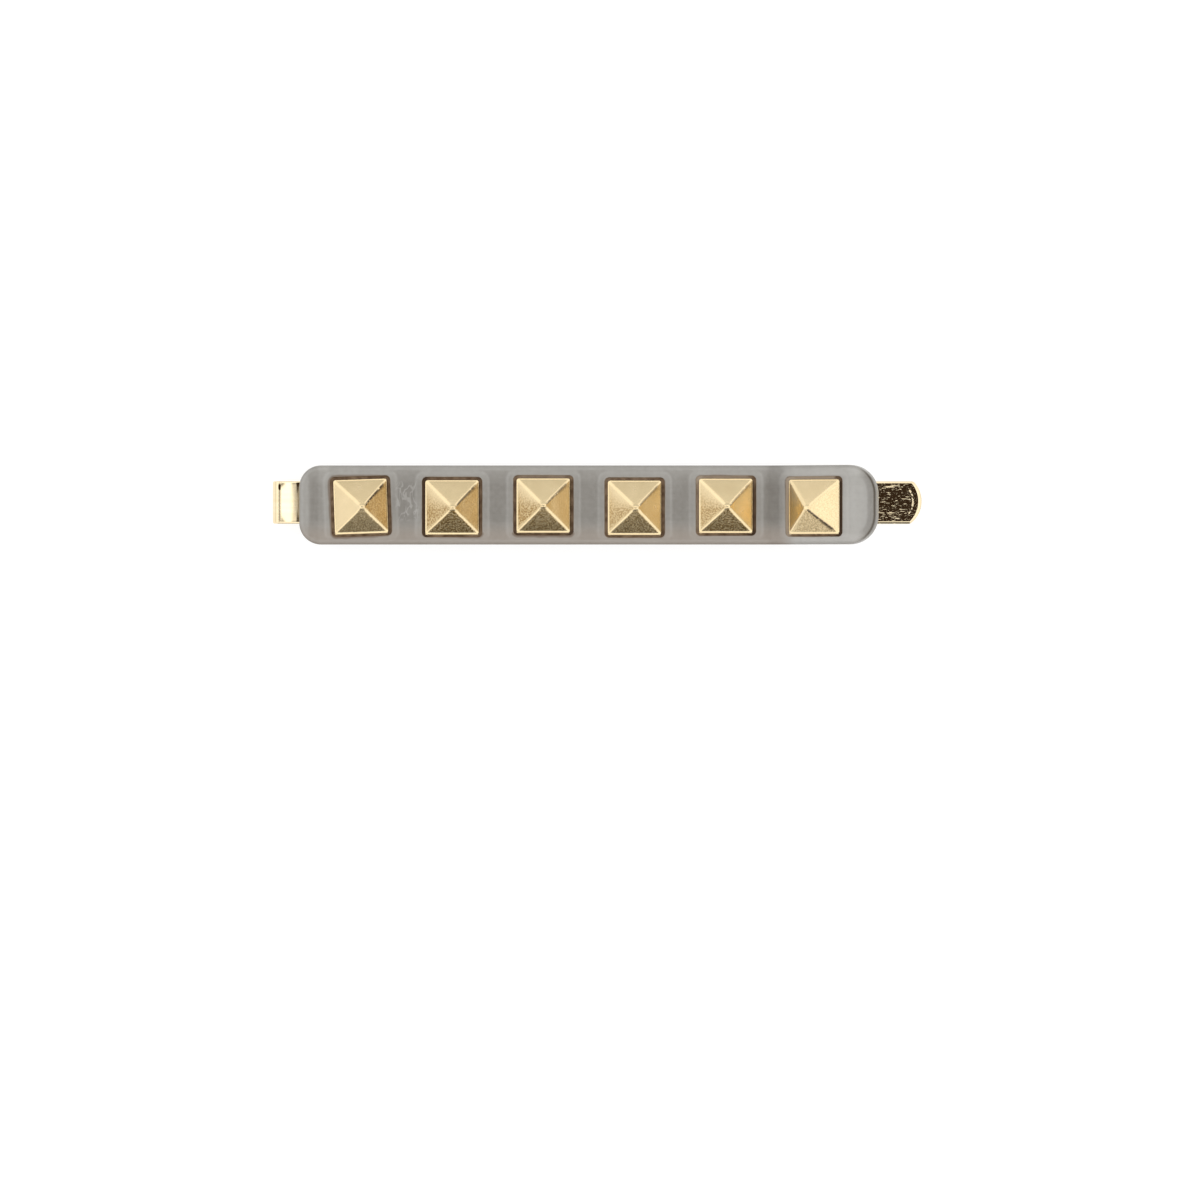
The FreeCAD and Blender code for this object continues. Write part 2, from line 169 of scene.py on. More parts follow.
def tongue_row(section, back, straight):
    """The tongue's row so far back from its tip, curved as the tip is, or partly straightened."""
    points = []
    for _, y, out in section:
        along = (tip_reach(y) - TIP_X) * (1 - straight)
        if out > 0:
            bevel = cut_away(TIP_BEVEL, back) + cut_away(TIP_NOSE, back, 2)
            out = min(out, STRIP_HALF_THICKNESS - bevel)
        else:
            out = max(out, cut_away(TIP_UNDERCUT, back) - STRIP_HALF_THICKNESS)
        points.append((along, y, out))
    return (TIP_X - back, TROUGH_Z), 0.0, points


leg_stations = [(EYE_X, EYE_Z - EYE_RADIUS)]
half_wave = (TONGUE_X - FIRST_CREST_X) / HALF_WAVES
for count in range(HALF_WAVES + 1):
    leg_stations.append((FIRST_CREST_X + count * half_wave, TROUGH_Z if count % 2 else CREST_Z))
section = strip_section(NEAR_EDGE_ROLL)
leg_rows = [((x, z), slope, section) for x, z, slope in crimped_path(leg_stations)]
for count in range(1, TONGUE_STEPS + 1):
    leg_rows.append(((TONGUE_X + count * TONGUE_STEP, TROUGH_Z), 0.0, section))
for count in range(ARC_ROWS):
    leg_rows.append(tongue_row(section, ARC_BACK - ARC_STEP * count, 1 - count / ARC_ROWS))
for back in TIP_ROWS:
    leg_rows.append(tongue_row(section, back, 0.0))
lower_leg = swept_strip("lower_leg_strip", leg_rows)


def new_material(name):
    """A material with its node tree and its shader."""
    made = bpy.data.materials.new(name)
    made.use_nodes = True
    return made, made.node_tree, made.node_tree.nodes["Principled BSDF"]


def wire(tree, node, inputs):
    """Give each named input a value, or the output of another node."""
    for name, value in inputs.items():
        if isinstance(value, bpy.types.NodeSocket):
            tree.links.new(value, node.inputs[name])
        else:
            node.inputs[name].default_value = value


def add(tree, kind, inputs, out=0, **settings):
    """A node of a kind with its settings and inputs. It returns the one output that is used."""
    node = tree.nodes.new("ShaderNode" + kind)
    for setting, value in settings.items():
        setattr(node, setting, value)
    wire(tree, node, inputs)
    return node.outputs[out]


def blend_of(tree, share, under, over):
    """One colour over another."""
    inputs = {"Factor": share, "A": under, "B": over}
    return add(tree, "Mix", inputs, "Result", data_type="RGBA", clamp_factor=False)


def ramp(tree, value, low, high, start=0.0, end=1.0, shape="SMOOTHSTEP"):
    """A value that goes from start to end while another goes from low to high."""
    inputs = {"Value": value, "From Min": low, "From Max": high, "To Min": start, "To Max": end}
    return add(tree, "MapRange", inputs, interpolation_type=shape)


def worked_out(tree, operation, values):
    """A sum done on values from left to right."""
    total = values[0]
    for value in values[1:]:
        total = add(tree, "Math", {0: total, 1: value}, operation=operation)
    return total


def sum_of(tree, *values):
    return worked_out(tree, "ADD", values)


def product_of(tree, *values):
    return worked_out(tree, "MULTIPLY", values)


def largest_of(tree, *values):
    return worked_out(tree, "MAXIMUM", values)


def apart(tree, value, place):
    """How far a value is from a place."""
    difference = worked_out(tree, "SUBTRACT", (value, place))
    return add(tree, "Math", {0: difference}, operation="ABSOLUTE")


def noise(tree, where, scales, **more):
    """A cloudy value. Its scales along X, Y and Z are in clouds a metre."""
    stretched = add(tree, "Mapping", {"Vector": where, "Scale": scales})
    inputs = {"Vector": stretched, "Scale": 1.0}
    inputs.update({name.replace("_", " ").title(): value for name, value in more.items()})
    return add(tree, "TexNoise", inputs)


def in_millimetres(tree, where):
    """A place that is given in metres."""
    return add(tree, "VectorMath", {0: where, "Scale": 1 / MM}, operation="SCALE")


def part_of(tree, where, axis):
    """One part of a place or a direction."""
    return add(tree, "SeparateXYZ", {"Vector": where}, axis)


# The plate is pale bright gold, a little redder where it is thin along the drawing lines.
THIN_PLATE = (0.87, 0.7, 0.43, 1.0)
FULL_PLATE = (0.94, 0.82, 0.58, 1.0)
strip_gold, tree, plate = new_material("strip_gold")
where = add(tree, "TexCoord", {}, "Object")
place = in_millimetres(tree, where)
along_strip, across_strip = part_of(tree, place, "X"), part_of(tree, place, "Y")
tone_share = noise(tree, where, (260, 2600, 260), detail=4.0)

# The tongue is puckered into short fine ripples that run along it, most of them on two lines, and
# into a ring of dents behind the cut of its tip. They are rubbed dull.
RIPPLE_LINES = (2.07, -0.87)
TIP_CENTRE_X = TIP_X - TIP_RADIUS
DENT_RING_RADIUS = 2.13
PUCKER_HEIGHT = 0.0065
on_tongue = ramp(tree, along_strip, 14.0, 20.0)
ripples = noise(tree, where, (1300, 12000, 1300), detail=2.0, roughness=0.5, distortion=0.3)
for line in RIPPLE_LINES:
    on_line = ramp(tree, apart(tree, across_strip, line), 0.02, 0.12, 0.13, 0.0)
    ripples = sum_of(tree, ripples, on_line)
tip_centre = (TIP_CENTRE_X, STRIP_SIDE_SHIFT + TIP_SIDE_SHIFT, TROUGH_Z + STRIP_HALF_THICKNESS)
to_tip = add(tree, "VectorMath", {0: place, 1: tip_centre}, "Value", operation="DISTANCE")
behind_tip = largest_of(
    tree, ramp(tree, to_tip, 1.95, 1.8),
    ramp(tree, along_strip, TIP_CENTRE_X + 0.8, TIP_CENTRE_X + 0.4))
dashes = product_of(tree, ramp(tree, ripples, 0.65, 0.73), behind_tip)
dents = ramp(tree, noise(tree, where, (3600, 3600, 3600), detail=1.0), 0.39, 0.49)
dent_ring = product_of(
    tree, ramp(tree, apart(tree, to_tip, DENT_RING_RADIUS), 0.03, 0.11, 1.0, 0.0), dents,
    ramp(tree, along_strip, TIP_CENTRE_X + 1.55, TIP_CENTRE_X + 1.75))
puckers = product_of(tree, sum_of(tree, dashes, dent_ring), on_tongue)

# Handling leaves the polish uneven in fine specks, most of all on the tongue, and the crest of the
# eye is rubbed duller, apart from the nick in it.
NICK_SIDE = 1.69
RUBBED_X = -35.0
POLISHED = 0.05
specks = ramp(tree, noise(tree, where, (5200, 7600, 5200), detail=2.0), 0.5, 0.72)
speckled = product_of(tree, specks, ramp(tree, on_tongue, 0.0, 1.0, 0.06, 0.2))
rubbed_crest = product_of(
    tree, ramp(tree, apart(tree, along_strip, RUBBED_X), 0.1, 0.34, 0.2, 0.0),
    ramp(tree, apart(tree, across_strip, STRIP_SIDE_SHIFT + NICK_SIDE), 0.22, 0.36))
wire(tree, plate, {
    "Base Color": blend_of(tree, tone_share, THIN_PLATE, FULL_PLATE),
    "Metallic": 1.0,
    "Normal": add(tree, "Bump", {"Height": puckers, "Distance": PUCKER_HEIGHT * MM}),
    "Roughness": sum_of(tree, speckled, POLISHED, product_of(tree, puckers, 0.35), rubbed_crest),
})
lower_leg.data.materials.append(strip_gold)
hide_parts("lower_leg")
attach(lower_leg, "lower_side")


# Spring strip, round bend: the same strip turned back on itself, which makes the pin's spring.
# Its crest lies near its front, and it slopes from there down to the upper leg just under the bar.
# Bending it left a small flat nick across the crest, on the far side.
CREST_X = -35.05
CREST_RUN = 0.495
SEAM_X = -32.2
UPPER_LEG_Z = 1.65
NICK_DEPTH = 0.008
NICK_HALF_LENGTH = 0.27
TURN_STEPS = 60
SLOPE_STEPS = 95
# The turn is a little squarer than a round one in its upper half.
UPPER_SQUARENESS = 0.94
# How steeply it falls, in degrees, at a distance from the crest. Its edges curl up or down from
# its middle by the difference.
MIDDLE_SLOPES = [
    (0.0, 0.0), (0.07, 5.5), (0.18, 9.6), (0.45, 9.6), (0.8, 9.0), (1.2, 8.0), (1.5, 7.2),
    (1.75, 6.5), (2.2, 6.2), (2.35, 5.0), (2.6, 4.0), (2.85, 0.0),
]
EDGE_SLOPES = [
    (0.0, 0.0), (0.09, 3.5), (0.33, 4.3), (0.55, 5.9), (0.8, 8.2), (1.1, 8.6), (1.32, 6.6),
    (1.54, 5.7), (1.76, 6.0), (1.87, 4.6), (1.98, 0.4), (2.2, 0.4), (2.35, 15.0), (2.7, 15.0),
    (2.85, 0.0),
]
CURL_POWER = 2.5
BEND_NEAR_ROLL = [
    (0.24, 0.0), (0.2, 0.006), (0.16, 0.016), (0.12, 0.031), (0.09, 0.045), (0.065, 0.062),
    (0.04, 0.084), (0.02, 0.11), (0.0, 0.2),
]


def falls(slopes, runs):
    """How far the strip has fallen at distances from its crest."""
    steepness = np.tan(np.radians(np.interp(runs, *zip(*slopes))))
    steps = (steepness[1:] + steepness[:-1]) / 2 * np.diff(runs)
    fall = np.concatenate([[0.0], np.cumsum(steps)])
    return fall * (EYE_Z + EYE_RADIUS - UPPER_LEG_Z) / fall[-1]


def shaped_section(section, z, slope, curl):
    """The section with its edges curled by so much, and the nick pressed flat into the crest."""
    crest_top = EYE_Z + EYE_RADIUS + STRIP_HALF_THICKNESS
    points = []
    for along, y, out in section:
        if out > 0:
            nick = NICK_DEPTH * math.exp(-(((y - NICK_SIDE) / NICK_HALF_LENGTH) ** 6))
            out = min(out, (crest_top - nick - z) / max(math.cos(slope), 0.1))
        points.append((along, y, out + curl * (abs(y) / STRIP_HALF_WIDTH) ** CURL_POWER))
    return points


bend_section = strip_section(BEND_NEAR_ROLL)
turned = np.radians(np.linspace(0, 180, TURN_STEPS + 1))
squareness = np.where(turned > math.pi / 2, UPPER_SQUARENESS, 1.0)
turn_x = CREST_X - CREST_RUN * np.sin(turned) ** squareness
turn_z = EYE_Z - EYE_RADIUS * np.sign(np.cos(turned)) * np.abs(np.cos(turned)) ** squareness
runs = np.linspace(0, SEAM_X - CREST_X, SLOPE_STEPS + 1)
middle_falls = falls(MIDDLE_SLOPES, runs)
bend_x = np.concatenate([turn_x, CREST_X + runs[1:]])
bend_z = np.concatenate([turn_z, EYE_Z + EYE_RADIUS - middle_falls[1:]])
bend_curls = np.concatenate([np.zeros(TURN_STEPS), middle_falls - falls(EDGE_SLOPES, runs)])
bend_slopes = np.arctan2(np.gradient(bend_z), np.gradient(bend_x))
bend_slopes[0], bend_slopes[-1] = math.pi, 0.0
bend_rows = [((EYE_X, EYE_Z - EYE_RADIUS), math.pi, bend_section)]
for x, z, slope, curl in zip(bend_x, bend_z, bend_slopes, bend_curls):
    bend_rows.append(((x, z), slope, shaped_section(bend_section, z, slope, curl)))
spring_bend = swept_strip("spring_bend_strip", bend_rows)
spring_bend.data.materials.append(strip_gold)
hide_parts("spring_bend")
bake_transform(spring_bend)


# Spring strip, upper leg: straight under the bar, and turned up with it.
# It is plated like the rest of the strip, and glued to the bar's underside.
BEND_X = 18.6
BEND_Z = 7.7
FLARE = math.radians(21.7)
LEG_REACH = 6.85
LEG_STEPS = 12
LEG_TURN_STEPS = 8
LEG_FLARE_STEPS = 4


def along_flare(height, along):
    """Where a layer of the bar or leg comes to on the turned-up end."""
    radius = BEND_Z - height
    x = BEND_X + radius * math.sin(FLARE) + along * math.cos(FLARE)
    return x, BEND_Z - radius * math.cos(FLARE) + along * math.sin(FLARE)


leg_rows = []
for count in range(LEG_STEPS + 1):
    x = SEAM_X + (BEND_X - SEAM_X) * count / LEG_STEPS
    leg_rows.append(((x, UPPER_LEG_Z), 0.0, section))
leg_radius = BEND_Z - UPPER_LEG_Z
for step in range(1, LEG_TURN_STEPS + 1):
    slope = FLARE * step / LEG_TURN_STEPS
    place = (BEND_X + leg_radius * math.sin(slope), BEND_Z - leg_radius * math.cos(slope))
    leg_rows.append((place, slope, section))
for count in range(1, LEG_FLARE_STEPS + 1):
    place = along_flare(UPPER_LEG_Z, LEG_REACH * count / LEG_FLARE_STEPS)
    leg_rows.append((place, FLARE, section))
upper_leg = swept_strip("upper_leg_strip", leg_rows)
upper_leg.data.materials.append(strip_gold)
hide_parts("upper_leg")
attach(upper_leg, "upper_side")


# Adhesive film: a thin coat of clear glue between the upper leg and the bar.
# It is rolled on, and set back a little from the strip's edges.
THIN_FILM = (0.55, 0.5, 0.38, 1.0)
THICK_FILM = (0.72, 0.67, 0.54, 1.0)
STREAK_HEIGHT = 0.02
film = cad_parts["bar_adhesive"]
clear_glue, tree, glue = new_material("clear_glue")
where = add(tree, "TexCoord", {}, "Object")
streaks = noise(tree, where, (300, 1800, 900), detail=3.0)
wire(tree, glue, {
    "Base Color": blend_of(tree, streaks, THIN_FILM, THICK_FILM),
    "Roughness": ramp(tree, streaks, 0.0, 1.0, 0.12, 0.3, "LINEAR"),
    "Normal": add(tree, "Bump", {"Height": streaks, "Distance": STREAK_HEIGHT * MM}),
})
film.data.materials.clear()
film.data.materials.append(clear_glue)


# Acetate bar: a strip of smoky cellulose acetate, warmed and turned up at its end with the leg.
# Its edges are tumbled round, and six square recesses are pressed into it for the studs.
# Each pressing leaves a low collar round the recess, and the skin keeps some drag marks.
BAR_X = -32.8
BAR_UNDER = 2.0
BAR_TOP = 3.7
BAR_HALF_WIDTH = 4.35
BAR_FLAT_LENGTH = 51.4
BEND_RADIUS = BEND_Z - BAR_TOP
BEND_LENGTH = BEND_RADIUS * FLARE
BAR_LENGTH = BAR_FLAT_LENGTH + BEND_LENGTH + 10.9
START_CORNER = 2.4
END_CORNER = 3.2
TOP_ROUNDING = 0.55
UNDER_ROUNDING = 0.2
RECESS_HALF_SIDE = 3.3
RECESS_CORNER = 0.5
RECESS_DEPTH = 0.64
LIP_RADIUS = 0.1
COLLAR_HEIGHT = 0.045
BAND_HEIGHT = 0.008
STUD_COUNT = 6
# Where each stud's recess is pressed: stations are along the sheet, and the last is on the flare.
STUD_STATIONS = [6.8 + 10.03 * number for number in range(STUD_COUNT - 1)]
STUD_STATIONS.append(BAR_FLAT_LENGTH + BEND_LENGTH + 3.92)
STUD_SIDES = (-0.15, -0.24, -0.045, -0.285, -0.075, -0.195)
STUD_TURNS = (math.radians(1.9), 0, 0, 0, 0, 0)
GRID_STEP = 0.1
RINGS = 12
ROUND_RINGS = 6
WALL_RINGS = 8


def bar_place(station, y, height):
    """Where a point of the sheet comes to once it is turned up. Stations run along its top."""
    turned = np.clip((station - BAR_FLAT_LENGTH) / BEND_RADIUS, 0, FLARE)
    along = np.maximum(station - BAR_FLAT_LENGTH - BEND_LENGTH, 0)
    flat = np.minimum(station, BAR_FLAT_LENGTH)
    radius = BEND_Z - height
    x = BAR_X + flat + radius * np.sin(turned) + along * np.cos(FLARE)
    z = BEND_Z - radius * np.cos(turned) + along * np.sin(FLARE)
    return np.stack([x * MM, y * MM, z * MM], axis=-1)


def round_square(x, y, half_x, half_y, corner):
    """Distance outside a rectangle with round corners, negative inside it."""
    past_x = np.abs(x) - half_x + corner
    past_y = np.abs(y) - half_y + corner
    outside = np.hypot(np.maximum(past_x, 0), np.maximum(past_y, 0))
    return outside + np.minimum(np.maximum(past_x, past_y), 0) - corner


def bar_inset(station, y):
    """Distance inside the bar's outline, whose two ends are rounded differently."""
    middle = station - BAR_LENGTH / 2
    start = round_square(middle, y, BAR_LENGTH / 2, BAR_HALF_WIDTH, START_CORNER)
    end = round_square(middle, y, BAR_LENGTH / 2, BAR_HALF_WIDTH, END_CORNER)
    return -np.where(middle < 0, start, end)


def from_recess(station, y):
    """Distance outside the nearest recess."""
    nearest = np.full(np.shape(station), np.inf)
    for side, middle, turn in zip(STUD_SIDES, STUD_STATIONS, STUD_TURNS):
        across, along = y - side, station - middle
        local_x = along * math.cos(turn) + across * math.sin(turn)
        local_y = across * math.cos(turn) - along * math.sin(turn)
        distance = round_square(
            local_x, local_y, RECESS_HALF_SIDE, RECESS_HALF_SIDE, RECESS_CORNER)
        nearest = np.minimum(nearest, distance)
    return nearest


def eased(value, low, high):
    """0 below low, 1 above high, and a smooth rise between."""
    share = np.clip((value - low) / (high - low), 0, 1)
    return share * share * (3 - 2 * share)


def bar_height(station, y):
    """The bar's top surface before it is turned up."""
    inset = bar_inset(station, y)
    over_edge = TOP_ROUNDING - np.clip(inset, 0, TOP_ROUNDING)
    rounding = TOP_ROUNDING - np.sqrt(TOP_ROUNDING ** 2 - over_edge ** 2)
    # The collar fades away from the recess, and is low where it nears the bar's side.
    collar = COLLAR_HEIGHT * (1 - eased(from_recess(station, y), 0.5, 0.95))
    collar = collar * (1 - 0.8 * eased(np.abs(y), 3.3, 3.8))
    # Faint bands follow the rounded start of the bar.
    start_bands = BAND_HEIGHT * np.sin(7 * inset) * (1 - eased(station, 2.2, 4.0))
    return BAR_TOP - rounding + collar + start_bands


def direction_out(field, station, y):
    """The plan direction in which a distance grows."""
    nudge = 0.01
    along = field(station + nudge, y) - field(station - nudge, y)
    across = field(station, y + nudge) - field(station, y - nudge)
    length = np.maximum(np.hypot(along, across), 1e-9)
    return along / length, across / length


def under_margin(station, y):
    """How far inside the underside a point lies."""
    return bar_inset(station, y) - UNDER_ROUNDING


def top_margin(station, y):
    """How far inside the top surface a point lies: inside the outline and outside every recess."""
    return np.minimum(under_margin(station, y), from_recess(station, y) - LIP_RADIUS)


def snapped_grid(margin):
    """A grid whose nearest points are moved onto the margin's edge, and the faces inside it."""
    along_count = int(BAR_LENGTH / GRID_STEP) + 1
    across_count = int(2 * BAR_HALF_WIDTH / GRID_STEP) + 1
    stations = np.linspace(0, BAR_LENGTH, along_count)
    sides = np.linspace(-BAR_HALF_WIDTH, BAR_HALF_WIDTH, across_count)
    station, y = np.meshgrid(stations, sides, indexing="ij")
    value = margin(station, y)
    near = np.abs(value) < GRID_STEP * 0.5
    side = np.where(near, 0, np.sign(value)).ravel()
    for _ in range(3):
        along, across = direction_out(margin, station, y)
        value = margin(station, y)
        station = np.where(near, station - value * along, station)
        y = np.where(near, y - value * across, y)
    faces = []
    for row in range(along_count - 1):
        for place in range(across_count - 1):
            a = row * across_count + place
            corners = (a, a + across_count, a + across_count + 1, a + 1)
            inside = tuple(corner for corner in corners if side[corner] >= 0)
            if len(inside) > 2 and any(side[corner] > 0 for corner in inside):
                faces.append(inside)
    return station.ravel(), y.ravel(), faces


def open_edges(faces):
    """Edges that only one face has, in that face's own direction."""
    seen = {}
    for face in faces:
        for a, b in zip(face, face[1:] + face[:1]):
            key = (min(a, b), max(a, b))
            seen[key] = None if key in seen else (a, b)
    return [edge for edge in seen.values() if edge]


def store(piece, name, values):
    """Keep a value for each point of a piece, which its material reads."""
    piece.data.attributes.new(name, "FLOAT", "POINT").data.foreach_set("value", values)


def make_bar():
    """The whole bar as one skin: its top, its edge, six recesses and its underside."""
    station, y, faces = snapped_grid(top_margin)
    rims = open_edges(faces)
    rim = sorted({corner for edge in rims for corner in edge})
    rim_station, rim_y = station[rim], y[rim]
    at_recess = from_recess(rim_station, rim_y) < 2 * LIP_RADIUS
    start_height = bar_height(rim_station, rim_y)
    edge_along, edge_across = direction_out(bar_inset, rim_station, rim_y)
    lip_along, lip_across = direction_out(from_recess, rim_station, rim_y)
    along = -np.where(at_recess, lip_along, edge_along)
    across = -np.where(at_recess, lip_across, edge_across)
    stations, sides, heights = [station], [y], [bar_height(station, y)]

    # Rings of points lead down over the outer edge to the underside, and over each lip and down
    # its wall to the recess floor. The first ones go round the top of the edge and the lip.
    quarter = math.radians(90)
    turned_at_start = math.asin(1 - UNDER_ROUNDING / TOP_ROUNDING)
    edge_start = TOP_ROUNDING * (1 - math.cos(turned_at_start))
    for step in range(1, RINGS + 1):
        if step <= ROUND_RINGS:
            turned = turned_at_start + (quarter - turned_at_start) * step / ROUND_RINGS
            edge_out = UNDER_ROUNDING - TOP_ROUNDING * (1 - math.sin(turned))
            edge_height = start_height + edge_start - TOP_ROUNDING * (1 - math.cos(turned))
            lip_turned = quarter * step / ROUND_RINGS
            lip_height = start_height - LIP_RADIUS * (1 - math.cos(lip_turned))
        else:
            turned = quarter * (step - ROUND_RINGS - 1) / (RINGS - ROUND_RINGS - 1)
            edge_out = UNDER_ROUNDING * math.cos(turned)
            edge_height = BAR_UNDER + UNDER_ROUNDING * (1 - math.sin(turned))
            down_wall = (step - RINGS + WALL_RINGS) / WALL_RINGS
            lip_height = start_height + (BAR_TOP - RECESS_DEPTH - start_height) * down_wall
        out = np.where(at_recess, LIP_RADIUS * math.sin(lip_turned), edge_out)
        stations.append(rim_station + out * along)
        sides.append(rim_y + out * across)
        heights.append(np.where(at_recess, lip_height, edge_height))
    ring_place = {corner: place for place, corner in enumerate(rim)}

    def ring_corner(step, corner):
        if step == 0:
            return corner
        return len(station) + (step - 1) * len(rim) + ring_place[corner]

    for step in range(RINGS):
        for a, b in rims:
            upper = (ring_corner(step, b), ring_corner(step, a))
            faces.append(upper + (ring_corner(step + 1, a), ring_corner(step + 1, b)))

    # Each recess floor is one face, whose corners are taken in order round its middle.
    for middle, side in zip(STUD_STATIONS, STUD_SIDES):
        floor = []
        for place, corner in enumerate(rim):
            run = rim_station[place] - middle
            if at_recess[place] and abs(run) < 1.3 * RECESS_HALF_SIDE:
                angle = math.atan2(rim_y[place] - side, run)
                floor.append((angle, ring_corner(RINGS, corner)))
        faces.append(tuple(corner for angle, corner in sorted(floor)))

    # The underside is the same grid without recesses, and takes its edge from the last ring.
    offset = len(station) + RINGS * len(rim)
    under_station, under_y, under_faces = snapped_grid(under_margin)
    stations.append(under_station)
    sides.append(under_y)
    heights.append(np.full(len(under_station), BAR_UNDER))
    at_edge = {corner for corner, in_recess in zip(rim, at_recess) if not in_recess}
    for face in under_faces:
        corners = []
        for corner in reversed(face):
            on_edge = corner in at_edge
            corners.append(ring_corner(RINGS, corner) if on_edge else offset + corner)
        faces.append(tuple(corners))

    used = sorted({corner for face in faces for corner in face})
    new_number = {old: new for new, old in enumerate(used)}
    faces = [tuple(new_number[corner] for corner in face) for face in faces]
    station, y = np.concatenate(stations)[used], np.concatenate(sides)[used]
    height = np.concatenate(heights)[used]
    piece = new_piece("acetate_bar", bar_place(station, y, height).tolist(), faces, 40)
    # The skin knows how far it is from the bar's edge, from a recess and below the top.
    store(piece, "from_edge", bar_inset(station, y))
    store(piece, "from_recess", from_recess(station, y))
    store(piece, "below_top", BAR_TOP - height)
    return piece


def stored(tree, name):
    """The value that a piece keeps under a name for each of its points."""
    return add(tree, "Attribute", {}, "Fac", attribute_name=name)


# The sheet runs from a dark smoke, which also paints the shade over the leg, to a pale smoke, which
# also paints the light shining through it.
SHADED_DARK_SMOKE = (0.242, 0.229, 0.208, 1.0)
BACKLIT_PALE_SMOKE = (0.345, 0.332, 0.308, 1.0)
# A warmer tone, painted on the near side as part of its shade.
WARM_NEAR_SHADE = (0.335, 0.277, 0.228, 1.0)
# The brown of the soft margin round each recess's lip.
BROWN_MARGIN = (0.14, 0.09, 0.055, 1.0)
bar = make_bar()
acetate, tree, sheet = new_material("smoky_acetate")
where = add(tree, "TexCoord", {}, "Object")
place = in_millimetres(tree, where)
along_bar, across_bar = part_of(tree, place, "X"), part_of(tree, place, "Y")
from_middle = apart(tree, across_bar, 0.0)
edge_gap = stored(tree, "from_edge")
recess_gap = stored(tree, "from_recess")
below_top = stored(tree, "below_top")

# Painted light and shade: light from the white table shows through the sheet, painted in as a
# paler tone beside the leg, before it and past it, with the leg's shade left as a darker band as
# wide as the strip and as long as the leg. The near side is painted with less of that light. On
# the turned-up end, a paler stripe of painted light runs along each side.
near_side_shade = product_of(
    tree, ramp(tree, across_bar, -1.6, -3.6), ramp(tree, along_bar, 20.0, 22.0, 1.0, 0.1))
backlight_beside_leg = product_of(
    tree, ramp(tree, apart(tree, across_bar, STRIP_SIDE_SHIFT), 1.8, 4.3, shape="LINEAR"),
    ramp(tree, near_side_shade, 0.0, 1.0, 1.0, 0.6))
backlight_past_leg = ramp(tree, along_bar, 26.0, 28.0, 0.0, 1.2)
backlight_before_leg = ramp(tree, along_bar, -31.4, -32.0, 0.0, 0.9)
backlight_clear_of_leg = largest_of(tree, backlight_beside_leg, backlight_past_leg, backlight_before_leg)
backlight_flare_sides = product_of(
    tree, ramp(tree, along_bar, 20.8, 22.0), ramp(tree, from_middle, 2.9, 3.6),
    ramp(tree, from_middle, 4.25, 3.9), 0.45)

# Smoke in the sheet drifts from lighter to darker, drawn out a little along it, and the sheet is
# darker in a band across the bend.
BEND_BAND_X = 19.6
smoke = noise(tree, where, (300, 240, 240), detail=4.0)
smoke = ramp(tree, smoke, 0.2, 0.8, -0.2, 0.2, "LINEAR")
wisps = noise(tree, where, (900, 160, 200), detail=3.0, distortion=0.6)
wisps = ramp(tree, wisps, 0.3, 0.75, 0.07, -0.1, "LINEAR")
drawn = noise(tree, where, (160, 4200, 400), detail=2.0)
drawn = ramp(tree, drawn, 0.25, 0.75, -0.06, 0.06, "LINEAR")
mottle = noise(tree, where, (1900, 1900, 1900), detail=3.0)
mottle = ramp(tree, mottle, 0.3, 0.7, -0.12, 0.12, "LINEAR")
dark_bend_band = ramp(tree, apart(tree, along_bar, BEND_BAND_X), 0.2, 1.4, -0.75, 0.0)

# A thin line of painted shade runs round its edge, heaviest on the near side, and bands of
# painted shade lie on the rounded rim along its turned-up end.
edge_line_shade = product_of(
    tree, ramp(tree, edge_gap, 0.04, 0.22, 1.0, 0.0), ramp(tree, near_side_shade, 0.0, 1.0, -0.4, -1.6))
end_top_shade = product_of(
    tree, ramp(tree, edge_gap, 0.55, 0.95, -0.9, 0.0), ramp(tree, below_top, 1.0, 0.7))
end_lower_shade = product_of(
    tree, ramp(tree, apart(tree, below_top, 0.36), 0.08, 0.22, -1.0, 0.0),
    ramp(tree, edge_gap, 0.3, 0.15))
end_rim_shade = sum_of(tree, ramp(tree, edge_gap, 0.7, 1.5, -0.2, 0.0), end_top_shade, end_lower_shade)
end_shade = product_of(tree, ramp(tree, along_bar, 28.2, 29.6), end_rim_shade)

# The collar round each recess is painted lighter, as caught light. The sheet left of the first one
# is lighter.
collar_light = product_of(
    tree, ramp(tree, recess_gap, 0.62, 0.9, 0.4, 0.0), ramp(tree, from_middle, 3.3, 3.8, 1.0, 0.3))
first_patch = product_of(
    tree, ramp(tree, along_bar, -30.9, -30.5), ramp(tree, along_bar, -29.3, -29.6), 0.35)

# Drag marks are winding raised lines in the skin between the first two studs, painted lighter
# partly as milky skin and partly as painted glints.
MARKS_X = -20.9
MARKS_Y = 0.4
winding = noise(tree, where, (1300, 560, 400), detail=1.0, distortion=0.8)
marks = product_of(
    tree, ramp(tree, apart(tree, winding, 0.5), 0.015, 0.05, 1.0, 0.0),
    ramp(tree, apart(tree, along_bar, MARKS_X), 0.9, 1.5, 1.0, 0.0),
    ramp(tree, apart(tree, across_bar, MARKS_Y), 1.6, 2.4, 1.0, 0.0))
# Its lightness adds the sheet's own smoke and drag marks to the painted light and shade.
lightness = sum_of(
    tree, backlight_clear_of_leg, backlight_flare_sides, smoke, wisps, drawn, mottle, dark_bend_band, edge_line_shade, end_shade,
    collar_light, first_patch, product_of(tree, marks, 0.8))
sheet_tone = blend_of(tree, lightness, SHADED_DARK_SMOKE, BACKLIT_PALE_SMOKE)
# The near side is painted warmer, as part of its painted shade.
sheet_tone = blend_of(tree, product_of(tree, near_side_shade, 0.5), sheet_tone, WARM_NEAR_SHADE)

